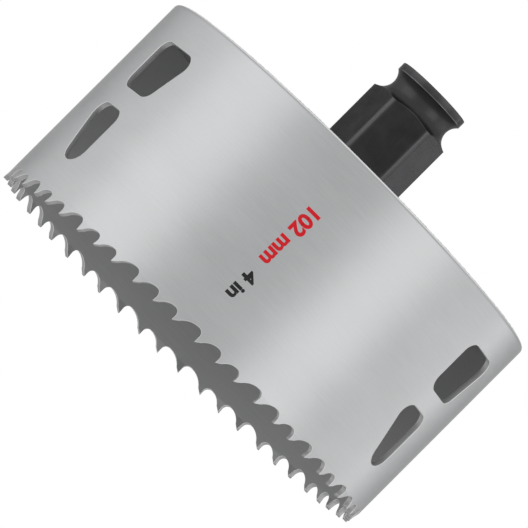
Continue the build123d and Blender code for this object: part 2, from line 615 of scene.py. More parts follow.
def rounded_hull(circles: Sequence[Triple], arc_steps: int, longest: float) -> Callable[[float], Loop]:
    """The outline round several circles, as a function of how far it is widened.

    Args:
        circles: Centre and radius of each, anticlockwise.
        arc_steps: Number of segments at each circle.
        longest: Greatest length of a segment on a straight stretch.

    Returns:
        A function from the widening to the points of the loop.
    """
    starts = []
    for (x0, y0, r0), (x1, y1, r1) in zip(circles, [*circles[1:], circles[0]]):
        starts.append(atan2(y1 - y0, x1 - x0) - acos((r0 - r1) / hypot(x1 - x0, y1 - y0)))

    def loop(grow: float) -> Loop:
        """The widened outline's points, anticlockwise.

        Args:
            grow: How far the outline is widened.

        Returns:
            The points.
        """
        points: Loop = []
        for number, (x, y, radius) in enumerate(circles):
            first, last = starts[number - 1], starts[number]
            turn = (last - first) % (2 * pi)
            for step in range(arc_steps + 1):
                points.append(polar((x, y), radius + grow, first + turn * step / arc_steps))
            next_x, next_y, next_radius = circles[(number + 1) % len(circles)]
            start = points[-1]
            end = polar((next_x, next_y), next_radius + grow, last)
            cuts = ceil(hypot(next_x - x, next_y - y) / longest)
            points.extend(
                (start[0] + (end[0] - start[0]) * cut / cuts, start[1] + (end[1] - start[1]) * cut / cuts)
                for cut in range(1, cuts)
            )
        return points
    return loop


@dataclass
class PunchedSheet:
    """A sheet with an outer and an inner face, whose cut edges are walls with rounded corners."""

    builder: MeshBuilder
    place: Callable[[float, float, float], Vector]
    thickness: float
    rounding: float
    rounding_steps: int = 2
    wear_and_highlight_share: float = 1.0

    def edge(self, loop: Callable[[float], Loop], closed: bool, values: Callable[[Point], Marks]) -> None:
        """Builds a cut edge from one face to the other.

        Args:
            loop: Points of the edge, by how far they lie inside the metal.
            closed: True for a hole or a rim.
            values: Numbers for a corner, by its place in the sheet.
        """
        cover = [
            (self.rounding * (1 - sin(turn)), self.rounding * (1 - cos(turn)))
            for turn in quarter_turn(self.rounding_steps)
        ]
        levels = cover + [(inside, self.thickness - depth) for inside, depth in reversed(cover)]
        rows = []
        for number, (inside, depth) in enumerate(levels):
            side = 1.0 if number == 0 else -1.0 if number == len(levels) - 1 else 0.0
            # Rings on the rounded edge get the bright edge mark: partly worn metal, partly a painted
            # highlight.
            worn = self.wear_and_highlight_share if side == 0 and min(depth, self.thickness - depth) < self.rounding / 2 else 0.0
            marks = {"side": side, "worn": worn, "ground": 1 - abs(side)}
            rows.append([
                self.builder.point(self.place(*spot, depth), **{**values(spot), **marks})
                for spot in loop(inside)
            ])
        self.builder.rows(rows, closed)

    def face(self, border: Loop, holes: Sequence[Loop], inner_points: Loop,
             creases: Sequence[tuple[Point, Point]], depth: float, values: Callable[[Point], Marks]) -> None:
        """Fills one face of the sheet with triangles.

        Args:
            border: Its outline, anticlockwise.
            holes: Outlines of holes, each anticlockwise.
            inner_points: Corners that the triangles must use.
            creases: Pairs of corners of the border that an edge must join.
            depth: Depth below the outer face.
            values: Numbers for a corner, by its place in the sheet.
        """
        spots = [Vector(spot) / MM for spot in border]
        links = [(step, (step + 1) % len(border)) for step in range(len(border))]
        for start, end in creases:
            links.append((border.index(start), border.index(end)))
        for hole in holes:
            first = len(spots)
            spots.extend(Vector(spot) / MM for spot in hole)
            links.extend((first + step, first + (step + 1) % len(hole)) for step in range(len(hole)))
        spots.extend(Vector(spot) / MM for spot in inner_points)
        outline = [list(range(len(border)))]
        result = delaunay_2d_cdt(spots, links, outline, FILL_INSIDE, FILL_TOLERANCE, False)
        corners, triangles = result[0], result[2]
        side = 1.0 if depth == 0 else -1.0
        numbers = []
        for corner in corners:
            flat = (corner.x * MM, corner.y * MM)
            numbers.append(self.builder.point(self.place(*flat, depth), **{**values(flat), "side": side}))
        for triangle in triangles:
            middle = sum((corners[number] for number in triangle), Vector((0, 0))) / len(triangle) * MM
            if encloses(border, *middle) and not any(encloses(hole, *middle) for hole in holes):
                self.builder.faces.append(tuple(numbers[number] for number in triangle))


def encloses(loop: Loop, x: float, y: float) -> bool:
    """Tells whether a place lies inside a loop.

    Args:
        loop: The loop.
        x: The place's first coordinate.
        y: Its second one.

    Returns:
        True if it does.
    """
    inside = False
    for (x0, y0), (x1, y1) in zip(loop, [*loop[1:], loop[0]]):
        if (y0 > y) != (y1 > y) and x < x0 + (x1 - x0) * (y - y0) / (y1 - y0):
            inside = not inside
    return inside


def no_marks(spot: Point) -> Marks:
    """The numbers of a corner that has none of its own."""
    return {}


def make_piece(name: str, mesh: bpy.types.Mesh, material: bpy.types.Material) -> bpy.types.Object:
    """Puts a mesh in the scene as a piece of the saw.

    Args:
        name: The piece's name.
        mesh: Its mesh.
        material: Its only material.

    Returns:
        The piece.
    """
    mesh.materials.clear()
    mesh.materials.append(material)
    piece = bpy.data.objects.new(name, mesh)
    bpy.context.scene.collection.objects.link(piece)
    return piece


def bake_modifier(name: str, base: bpy.types.Mesh, tree: bpy.types.NodeTree,
                  inputs: Settings) -> bpy.types.Mesh:
    """Runs a geometry tree on a mesh.

    Args:
        name: Name of the result.
        base: The mesh that goes in.
        tree: The tree.
        inputs: Values of the tree's inputs, by name.

    Returns:
        The result as a plain mesh.
    """
    carrier = bpy.data.objects.new(name, base)
    bpy.context.scene.collection.objects.link(carrier)
    modifier = carrier.modifiers.new(name, "NODES")
    modifier.node_group = tree
    for item in tree.interface.items_tree:
        if item.item_type == "SOCKET" and item.in_out == "INPUT" and item.name in inputs:
            modifier[item.identifier] = inputs[item.name]
    evaluated = carrier.evaluated_get(bpy.context.evaluated_depsgraph_get())
    result = bpy.data.meshes.new_from_object(evaluated)
    result.name = name
    carrier.modifiers.clear()
    bpy.data.objects.remove(carrier)
    return result


class GeometrySheet(NodeSheet):
    """A geometry node tree with named inputs."""

    def __init__(self, name: str, inputs: dict[str, str]) -> None:
        """Makes the tree.

        Args:
            name: Name of the tree.
            inputs: Socket type of each input, by name.
        """
        super().__init__(bpy.data.node_groups.new(name, "GeometryNodeTree"))
        interface = self.tree.interface
        interface.new_socket("Geometry", in_out="INPUT", socket_type="NodeSocketGeometry")
        for input_name, kind in inputs.items():
            interface.new_socket(input_name, in_out="INPUT", socket_type=kind)
        interface.new_socket("Geometry", in_out="OUTPUT", socket_type="NodeSocketGeometry")
        self.entry = self.node("NodeGroupInput")

    def given(self, name: str) -> Signal:
        """One of the tree's inputs."""
        return Signal(self, self.entry.outputs[name])

    def join(self, *parts: Signal) -> Signal:
        """Joins geometries.

        Args:
            parts: The geometries.

        Returns:
            All of them as one.
        """
        node = self.node("GeometryNodeJoinGeometry")
        for part in parts:
            self.tree.links.new(part.socket, node.inputs[0])
        return Signal(self, node.outputs[0])

    def done(self, geometry: Signal, material: Signal) -> bpy.types.NodeTree:
        """Ends the tree: makes instances real and gives them their material.

        Args:
            geometry: What the tree has made.
            material: The material.

        Returns:
            The tree.
        """
        real = self.out("GeometryNodeRealizeInstances", None, {0: geometry})
        dressed = self.out("GeometryNodeSetMaterial", None, {"Geometry": real, "Material": material})
        self.node("NodeGroupOutput", None, {0: dressed})
        return self.tree


# Saw band

class Lean(Enum):
    """Which way a tooth is set, as a share of the set outwards."""

    INWARD = -1.0
    PLAIN = 0.0
    OUTWARD = 1.0


@dataclass(frozen=True)
class Tooth:
    """One tooth of the pattern: its set, and the gullets and pitch around it."""

    lean: Lean
    gullet_before: float
    pitch: float
    gullet_after: float


@dataclass
class SawBand:
    """The toothed, set and slotted strip. It is drawn flat, repeated, and rolled round the axis.

    Flat coordinates run along the strip from the first inward tooth's tip, and up from the tooth tips.
    """

    pitch_radius: float = 51.0 * MM
    radius: float = 50.98 * MM
    height: float = 51.1 * MM
    thickness: float = 1.2 * MM
    back_edge_radius: float = 0.95 * MM
    back_edge_steps: int = 8
    inner_edge_radius: float = 0.12 * MM
    inner_edge_steps: int = 2
    # Rows of the back edge from this one on carry a painted highlight line.
    first_worn_row: int = 4
    tooth_set: float = 0.33 * MM
    set_line: float = 2.3 * MM
    gullet_radius: float = 1.3 * MM
    rake: float = radians(2)
    land_width: float = 1.2 * MM
    land_rise: float = 0.8 * MM
    tooth_edge: float = 0.08 * MM
    slot_edge: float = 0.11 * MM
    slot_edge_steps: int = 3
    # Share of the bright edge mark on the slot edges: wear and painted highlight.
    slot_wear_and_highlight: float = 0.6
    slot_arc_steps: int = 8
    slot_step: float = 1.0 * MM
    gullet_steps: int = 7
    relief_steps: int = 8
    pattern: tuple[Tooth, ...] = (
        Tooth(Lean.INWARD, 2.8 * MM, 6.15 * MM, 2.6 * MM),
        Tooth(Lean.OUTWARD, 2.6 * MM, 5.6 * MM, 2.4 * MM),
        Tooth(Lean.PLAIN, 2.4 * MM, 6.6 * MM, 2.8 * MM),
    )
    pattern_columns: int = 18
    shortest_seam_gap: float = 6.0 * MM
    teeth_top: float = 6.0 * MM
    tooth_row_height: float = 0.8 * MM
    row_height: float = 2.4 * MM
    clearance: float = 0.3 * MM
    first_slot_azimuth: float = radians(78.8)
    slot_pairs: int = 3
    slot_spacing_patterns: int = 6
    chip_slot: tuple[Triple, ...] = (
        (2.8, 32.6, 2.8), (9.3, 32.6, 2.8), (11.5, 40.1, 2.8), (2.8, 40.1, 2.8),
    )
    lever_slot: tuple[Triple, ...] = (
        (6.16, 13.5, 3.5), (6.86, 22.0, 2.8), (2.0, 22.0, 2.8),
    )
    pattern_length: float = field(init=False)
    pattern_count: int = field(init=False)
    closing: Tooth = field(init=False)
    closing_columns: int = field(init=False)
    first_azimuth: float = field(init=False)

    def __post_init__(self) -> None:
        """Works out how often the pattern fits, where it starts and what closes the ring."""
        strip_length = 2 * pi * self.pitch_radius
        self.pattern_length = sum(tooth.pitch for tooth in self.pattern)
        self.pattern_count = int((strip_length - self.shortest_seam_gap) / self.pattern_length)
        gap = strip_length - self.pattern_count * self.pattern_length
        deepest = self.pattern[0].gullet_before
        self.closing = Tooth(Lean.INWARD, deepest, gap, deepest)
        self.closing_columns = round(gap / self.pattern_length * self.pattern_columns)
        self.first_azimuth = SEAM_AZIMUTH + gap / 2 / self.pitch_radius

    def tooth_points(self, tooth: Tooth, tip: float) -> tuple[Loop, int, int]:
        """The outline of one tooth, from the top of the gullet before it to the top of the one after.

        Args:
            tooth: The tooth.
            tip: Place of its tip along the strip.

        Returns:
            The points, and the numbers of the two that lie on the set line.
        """
        radius = self.gullet_radius
        rake_height = tooth.gullet_before - radius
        rake_root = rake_height * tan(self.rake)
        crease_turn = asin((self.set_line - rake_height) / radius)
        turns = sorted([*quarter_turn(self.gullet_steps), crease_turn], reverse=True)
        points = [
            (tip - radius + (radius + rake_root) * cos(turn), rake_height + radius * sin(turn))
            for turn in turns
        ]
        first_crease = turns.index(crease_turn)
        points.append((tip + rake_root / 2, rake_height / 2))
        points.append((tip, 0.0))
        points.append((tip + self.land_width, self.land_rise))
        run = tooth.pitch - radius - self.land_width
        rise = tooth.gullet_after - self.land_rise
        relief = (run * run + rise * rise) / (2 * rise)
        whole = asin(run / relief)
        crease = acos(1 - (tooth.gullet_after - self.set_line) / relief)
        sweeps = [whole * step / self.relief_steps for step in range(self.relief_steps)]
        sweeps = sorted([*sweeps, crease], reverse=True)
        last_crease = len(points) + sweeps.index(crease)
        points.extend(
            (tip + tooth.pitch - radius - relief * sin(sweep), tooth.gullet_after - relief * (1 - cos(sweep)))
            for sweep in sweeps
        )
        return points, first_crease, last_crease

    def chain(self, teeth: Sequence[Tooth],
              start: float) -> tuple[Callable[[float], Loop], list[tuple[int, int]]]:
        """The cut edge of several teeth in a row.

        Args:
            teeth: The teeth in order.
            start: Place of the first tip.

        Returns:
            The edge's points by how far they lie inside the metal, and pairs of points on the set line.
        """
        points: Loop = []
        creases = []
        tip = start
        for tooth in teeth:
            outline, first, last = self.tooth_points(tooth, tip)
            offset = len(points) - 1 if points else 0
            points.extend(outline[1:] if points else outline)
            creases.append((offset + first, offset + last))
            tip += tooth.pitch
        normals = [(0.0, 1.0)]
        for before, here, after in zip(points, points[1:], points[2:]):
            first_turn = atan2(here[1] - before[1], here[0] - before[0])
            last_turn = atan2(after[1] - here[1], after[0] - here[0])
            bend = (last_turn - first_turn + pi) % (2 * pi) - pi
            turn = first_turn + bend / 2 + pi / 2
            normals.append((cos(turn) / cos(bend / 2), sin(turn) / cos(bend / 2)))
        normals.append((0.0, 1.0))

        def edge(inside: float) -> Loop:
            """Points from left to right."""
            return [(x + inside * nx, z + inside * nz) for (x, z), (nx, nz) in zip(points, normals)]
        return edge, creases

    def teeth_mesh(self, name: str, teeth: Sequence[Tooth], start: float, columns: int) -> bpy.types.Mesh:
        """A flat stretch of teeth, up to teeth_top.

        Args:
            name: Name of the mesh.
            teeth: The teeth in order.
            start: Place of the first tip.
            columns: Number of columns that the stretch is divided in.

        Returns:
            The flat mesh.
        """
        builder = MeshBuilder("side", "worn", "ground", "lean")
        sheet = PunchedSheet(builder, self.flat_place, self.thickness, self.tooth_edge)
        edge, creases = self.chain(teeth, start)
        left = start - self.gullet_radius
        length = sum(tooth.pitch for tooth in teeth)
        ends = [left]
        for tooth in teeth:
            ends.append(ends[-1] + tooth.pitch)

        def values(spot: Point) -> Marks:
            """The set of the tooth that a place belongs to."""
            number = sum(1 for end in ends[1:-1] if spot[0] > end)
            return {"lean": teeth[number].lean.value}

        sheet.edge(edge, False, values)
        inner = edge(self.tooth_edge)
        top = [(left + length * step / columns, self.teeth_top) for step in range(columns, -1, -1)]
        border = inner + top
        spots = self.grid_points(left, length, columns, border)
        marks = [(inner[first], inner[last]) for first, last in creases]
        for depth in (0.0, self.thickness):
            sheet.face(border, [], spots, marks, depth, values)
        return builder.mesh(name)

    def flat_place(self, along: float, up: float, depth: float) -> Vector:
        """A place in the flat strip: x along it, y outwards and z up."""
        return Vector((along, -depth, up))

    def grid_points(self, left: float, length: float, columns: int, border: Loop) -> Loop:
        """Corners on a stretch's columns that lie inside its border and clear of it.

        Args:
            left: Start of the first column.
            length: Length of all columns.
            columns: Number of columns.
            border: The outline.

        Returns:
            The places of the corners.
        """
        low = min(z for _, z in border)
        high = max(z for _, z in border)
        rows = round((high - low) / self.tooth_row_height)
        spots = []
        for column in range(1, columns):
            x = left + length * column / columns
            near = [spot for spot in border if abs(spot[0] - x) < 2 * self.clearance]
            crossings = sorted(
                start[1] + (end[1] - start[1]) * (x - start[0]) / (end[0] - start[0])
                for start, end in zip(border, [*border[1:], border[0]])
                if (start[0] <= x) != (end[0] <= x)
            )
            floor = crossings[-2]
            for row in range(1, rows):
                z = low + (high - low) * row / rows
                clear = all(hypot(x - sx, z - sz) > self.clearance for sx, sz in near)
                if z > floor + self.clearance and clear:
                    spots.append((x, z))
        return spots

    def slots(self) -> list[Callable[[float], Loop]]:
        """Outlines of all slots in the flat strip.

        Returns:
            A function for each, from the widening to its points.
        """
        first = (self.first_slot_azimuth - self.first_azimuth) * self.pitch_radius
        loops = []
        for pair in range(self.slot_pairs):
            shift = first + pair * self.slot_spacing_patterns * self.pattern_length
            for shape in (self.chip_slot, self.lever_slot):
                circles = [(shift + x * MM, z * MM, radius * MM) for x, z, radius in shape]
                loops.append(rounded_hull(circles, self.slot_arc_steps, self.slot_step))
        return loops

    def strip_mesh(self) -> bpy.types.Mesh:
        """The flat strip above the teeth, with its slots and rounded back edge.

        Returns:
            The flat mesh.
        """
        builder = MeshBuilder("side", "worn", "ground", "lean")
        sheet = PunchedSheet(builder, self.flat_place, self.thickness, self.slot_edge,
                             self.slot_edge_steps, self.slot_wear_and_highlight)
        left = -self.gullet_radius
        pattern_end = left + self.pattern_count * self.pattern_length
        columns = [
            left + self.pattern_length * step / self.pattern_columns
            for step in range(self.pattern_count * self.pattern_columns)
        ]
        columns += [
            pattern_end + self.closing.pitch * step / self.closing_columns
            for step in range(self.closing_columns + 1)
        ]
        loops = self.slots()
        for loop in loops:
            sheet.edge(loop, True, no_marks)
        holes = [loop(self.slot_edge) for loop in loops]
        for depth, rounding in ((0.0, self.back_edge_radius), (self.thickness, self.inner_edge_radius)):
            top = self.height - rounding
            border = [(x, self.teeth_top) for x in columns] + [(x, top) for x in reversed(columns)]
            sheet.face(border, holes, self.strip_points(columns, top, holes), [], depth, no_marks)
        self.back_edge(builder, columns)
        log.info("flat strip of %.1f mm in %d columns", (columns[-1] - left) / MM, len(columns) - 1)
        return builder.mesh("flat_strip")

    def strip_points(self, columns: Sequence[float], top: float, holes: Sequence[Loop]) -> Loop:
        """Corners on the columns above the teeth, clear of the slots.

        Args:
            columns: Places of the columns along the strip.
            top: Height of the face's upper border.
            holes: Outlines of the slots.

        Returns:
            The places of the corners.
        """
        rows = round((top - self.teeth_top) / self.row_height)
        spots = []
        for x in columns[1:-1]:
            near = [
                (hole, [spot for spot in hole if abs(spot[0] - x) < 2 * self.clearance])
                for hole in holes
                if min(spot[0] for spot in hole) - MM < x < max(spot[0] for spot in hole) + MM
            ]
            for row in range(1, rows):
                z = self.teeth_top + (top - self.teeth_top) * row / rows
                if all(
                    not encloses(hole, x, z)
                    and all(hypot(x - sx, z - sz) > self.clearance for sx, sz in close)
                    for hole, close in near
                ):
                    spots.append((x, z))
        return spots

    def back_edge(self, builder: MeshBuilder, columns: Sequence[float]) -> None:
        """Adds rows over the back edge, from the outer face round to the inner one, with a painted highlight
        line on its rounding.

        Args:
            builder: The mesh under way.
            columns: Places of the columns along the strip.
        """
        big, small = self.back_edge_radius, self.inner_edge_radius
        path = [
            (big * (1 - cos(turn)), self.height - big * (1 - sin(turn)))
            for turn in quarter_turn(self.back_edge_steps)
        ]
        path += [
            (self.thickness - small * (1 - sin(turn)), self.height - small * (1 - cos(turn)))
            for turn in quarter_turn(self.inner_edge_steps)
        ]
        last = len(path) - 1
        rows = []
        for number, (depth, z) in enumerate(path):
            side = 1.0 if number == 0 else -1.0 if number == last else 0.0
            # Rows on the rounding, short of the inner face, get a full painted highlight: a bright line along
            # the back rim.
            worn = 1.0 if self.first_worn_row <= number < last else 0.0
            rows.append([builder.point(self.flat_place(x, z, depth), side=side, worn=worn) for x in columns])
        builder.rows(rows, False)

    def rolling_tree(self) -> bpy.types.NodeTree:
        """The tree that repeats the pattern, sets the teeth and rolls the strip round the axis.

        Returns:
            The tree.
        """
        sheet = GeometrySheet("toothed_strip_rolling", {
            "Closing tooth": "NodeSocketObject",
            "Slotted strip": "NodeSocketObject",
            "Pattern count": "NodeSocketInt",
            "Pattern length": "NodeSocketFloat",
            "Band radius": "NodeSocketFloat",
            "Pitch radius": "NodeSocketFloat",
            "First azimuth": "NodeSocketFloat",
            "Tooth set": "NodeSocketFloat",
            "Set line": "NodeSocketFloat",
            "Weld distance": "NodeSocketFloat",
            "Steel": "NodeSocketMaterial",
        })
        step = sheet.vector(sheet.given("Pattern length"))
        places = sheet.out("GeometryNodeMeshLine", {"mode": "OFFSET"},
                           {"Count": sheet.given("Pattern count"), "Offset": step})
        repeated = sheet.out("GeometryNodeInstanceOnPoints", None,
                             {"Points": places, "Instance": sheet.given("Geometry")})
        others = [
            sheet.out("GeometryNodeObjectInfo", None, {"Object": sheet.given(name)}, "Geometry")
            for name in ("Closing tooth", "Slotted strip")
        ]
        flat = sheet.out("GeometryNodeRealizeInstances", None, {0: sheet.join(repeated, *others)})
        x, y, z = sheet.split(sheet.out("GeometryNodeInputPosition"))
        lean = sheet.out("GeometryNodeInputNamedAttribute", {"data_type": "FLOAT"},
                         {"Name": "lean"}, "Attribute")
        below = (1 - z / sheet.given("Set line")).math("MAXIMUM", 0.0)
        reach = sheet.given("Band radius") + y + lean * sheet.given("Tooth set") * below
        turn = sheet.given("First azimuth") + x / sheet.given("Pitch radius")
        rolled = sheet.vector(reach * turn.math("COSINE"), reach * turn.math("SINE"), z)
        band = sheet.out("GeometryNodeSetPosition", None, {"Geometry": flat, "Position": rolled})
        merged = sheet.out("GeometryNodeMergeByDistance", None,
                           {"Geometry": band, "Distance": sheet.given("Weld distance")})
        return sheet.done(merged, sheet.given("Steel"))

    def outward(self, corner: Vector, middle: Vector) -> Vector:
        """The outer face's normal: straight out from the axis, and tilted where a tooth is set.

        Args:
            corner: Place of the corner.
            middle: Middle of its face.

        Returns:
            The normal.
        """
        normal = Vector((corner.x, corner.y, 0)).normalized()
        if middle.z < self.set_line:
            along = (atan2(middle.y, middle.x) - self.first_azimuth) % (2 * pi) * self.pitch_radius
            normal.z = self.lean_at(along) * self.tooth_set / self.set_line
        return normal.normalized()

    def lean_at(self, along: float) -> float:
        """Which way the tooth at a place along the strip is set.

        Args:
            along: The place along the strip.

        Returns:
            The value of its Lean.
        """
        strip_length = 2 * pi * self.pitch_radius
        along = (along + self.gullet_radius) % strip_length
        if along > self.pattern_count * self.pattern_length:
            return self.closing.lean.value
        along %= self.pattern_length
        for tooth in self.pattern:
            if along < tooth.pitch:
                break
            along -= tooth.pitch
        return tooth.lean.value

    def build(self) -> bpy.types.Object:
        """Builds the band and lets it stand for its node.

        Returns:
            The piece.
        """
        steel = SatinStrip().material(self.pitch_radius)
        pattern = self.teeth_mesh("tooth_pattern", self.pattern, 0.0, self.pattern_columns)
        closing_start = self.pattern_count * self.pattern_length
        closing = self.teeth_mesh("closing_tooth", [self.closing], closing_start, self.closing_columns)
        helpers = {
            "Closing tooth": bpy.data.objects.new("closing_tooth", closing),
            "Slotted strip": bpy.data.objects.new("slotted_strip", self.strip_mesh()),
        }
        mesh = bake_modifier("saw_band_steel", pattern, self.rolling_tree(), {
            **helpers,
            "Pattern count": self.pattern_count,
            "Pattern length": self.pattern_length,
            "Band radius": self.radius,
            "Pitch radius": self.pitch_radius,
            "First azimuth": self.first_azimuth,
            "Tooth set": self.tooth_set,
            "Set line": self.set_line,
            "Weld distance": WELD_DISTANCE,
            "Steel": steel,
        })
        for helper in helpers.values():
            bpy.data.objects.remove(helper)
        open_edges = close_mesh(mesh)
        shade_sheets(mesh, self.outward)
        piece = make_piece("toothed_band", mesh, steel)
        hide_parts("saw_band")
        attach(piece, "root")
        log.info("toothed band: %d teeth, %d faces, %d open edges",
                 len(self.pattern) * self.pattern_count + 1, len(mesh.polygons), open_edges)
        return piece


# Back plate

@dataclass
class BackPlate:
    """The disc that closes the cup, and the weld that holds it in the band."""

    top: float = 51.1 * MM
    thickness: float = 4.8 * MM
    radius: float = 49.76 * MM
    centre_hole_radius: float = 7.95 * MM
    pin_hole_radius: float = 3.5 * MM
    pin_circle_radius: float = 14.5 * MM
    pin_holes: int = 4
    rim_points: int = 240
    centre_hole_points: int = 72
    pin_hole_points: int = 48
    hole_edge: float = 0.25 * MM
    hole_edge_steps: int = 3
    rim_edge: float = 0.5 * MM
    rim_edge_steps: int = 4
    ripple_pitch: float = 0.85 * MM
    bead_width: float = 1.5 * MM
    bead_height: float = 0.34 * MM
    bead_sink: float = 0.25 * MM
    ripple_overlap: float = 0.8
    ripple_points: int = 10
    ripple_rings: int = 3
    ripple_sizes: tuple[float, float] = (0.86, 1.06)
    seed: int = 7

    def place(self, x: float, y: float, depth: float) -> Vector:
        """A place in the disc, by its depth below the outer face."""
        return Vector((x, y, self.top - depth))

    def build(self) -> None:
        """Builds the disc and its weld."""
        builder = MeshBuilder("side", "worn")
        sheet = PunchedSheet(builder, self.place, self.thickness, self.hole_edge, self.hole_edge_steps)
        rim_sheet = PunchedSheet(builder, self.place, self.thickness, self.rim_edge, self.rim_edge_steps)
        rim = circle((0, 0), self.radius, self.rim_points)
        holes = [circle((0, 0), self.centre_hole_radius, self.centre_hole_points)]
        for number in range(self.pin_holes):
            centre = polar((0, 0), self.pin_circle_radius, 2 * pi * (number + 0.5) / self.pin_holes)
            holes.append(circle(centre, self.pin_hole_radius, self.pin_hole_points))
        rim_sheet.edge(lambda inside: rim(-inside), True, no_marks)
        for hole in holes:
            sheet.edge(hole, True, no_marks)
        for depth in (0.0, self.thickness):
            sheet.face(rim(-self.rim_edge), [hole(self.hole_edge) for hole in holes], [], [], depth, no_marks)
        mesh = builder.mesh("back_plate_steel")
        open_edges = close_mesh(mesh)
        shade_sheets(mesh, lambda corner, middle: Vector((0, 0, 1)))
        piece = make_piece("welded_plate", mesh, TurnedPlate().material(self.radius))
        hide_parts("back_plate")
        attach(piece, "root")
        log.info("back plate: %d faces, %d open edges", len(mesh.polygons), open_edges)
        self.build_weld()

    def ripple_mesh(self) -> bpy.types.Mesh:
        """One ripple of the weld: a low dome, longer across the bead than along it.

        Returns:
            Its mesh.
        """
        builder = MeshBuilder("worn")
        rounds = [2 * pi * step / self.ripple_points for step in range(self.ripple_points)]
        rows = []
        for fall in quarter_turn(self.ripple_rings)[1:]:
            rows.append([
                builder.point(Vector((
                    self.bead_width / 2 * sin(fall) * cos(turn),
                    self.ripple_pitch * self.ripple_overlap * sin(fall) * sin(turn),
                    self.bead_height * cos(fall),
                )))
                for turn in rounds
            ])
        crown = builder.point(Vector((0, 0, self.bead_height)))
        foot = builder.point(Vector((0, 0, 0)))
        builder.rows(rows, True)
        for step in range(self.ripple_points):
            after = (step + 1) % self.ripple_points
            builder.faces.append((crown, rows[0][step], rows[0][after]))
            builder.faces.append((foot, rows[-1][after], rows[-1][step]))
        return builder.mesh("weld_ripple")

    def weld_tree(self) -> bpy.types.NodeTree:
        """The tree that sets ripples round the rim, each a little different.

        Returns:
            The tree.
        """
        sheet = GeometrySheet("rim_weld_ripples", {
            "Ripple count": "NodeSocketInt",
            "Weld radius": "NodeSocketFloat",
            "Weld height": "NodeSocketFloat",
            "Seed": "NodeSocketInt",
            "Bead": "NodeSocketMaterial",
        })
        places = sheet.out("GeometryNodeMeshCircle", None,
                           {"Vertices": sheet.given("Ripple count"), "Radius": sheet.given("Weld radius")})
        turn = sheet.out("GeometryNodeInputIndex") * (2 * pi) / sheet.given("Ripple count")
        facing = sheet.out("FunctionNodeEulerToRotation", None, {0: sheet.vector(z=turn)})
        smallest, largest = self.ripple_sizes
        size = sheet.out("FunctionNodeRandomValue", {"data_type": "FLOAT"},
                         {"Min": smallest, "Max": largest, "Seed": sheet.given("Seed")}, 1)
        ripples = sheet.out("GeometryNodeInstanceOnPoints", None, {
            "Points": places, "Instance": sheet.given("Geometry"), "Rotation": facing, "Scale": size,
        })
        lift = sheet.vector(z=sheet.given("Weld height"))
        raised = sheet.out("GeometryNodeTransform", None, {"Geometry": ripples, "Translation": lift})
        return sheet.done(raised, sheet.given("Bead"))

    def build_weld(self) -> None:
        """Lays the weld in the groove between the plate and the band."""
        bead = WeldBead().material()
        ripple = self.ripple_mesh()
        close_mesh(ripple)
        mesh = bake_modifier("rim_weld", ripple, self.weld_tree(), {
            "Ripple count": round(2 * pi * self.radius / self.ripple_pitch),
            "Weld radius": self.radius,
            "Weld height": self.top - self.bead_sink,
            "Seed": self.seed,
            "Bead": bead,
        })
        mesh.shade_smooth()
        piece = make_piece("rim_weld", mesh, bead)
        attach(piece, "root")
        log.info("rim weld: %d faces", len(mesh.polygons))


# Hex adapter

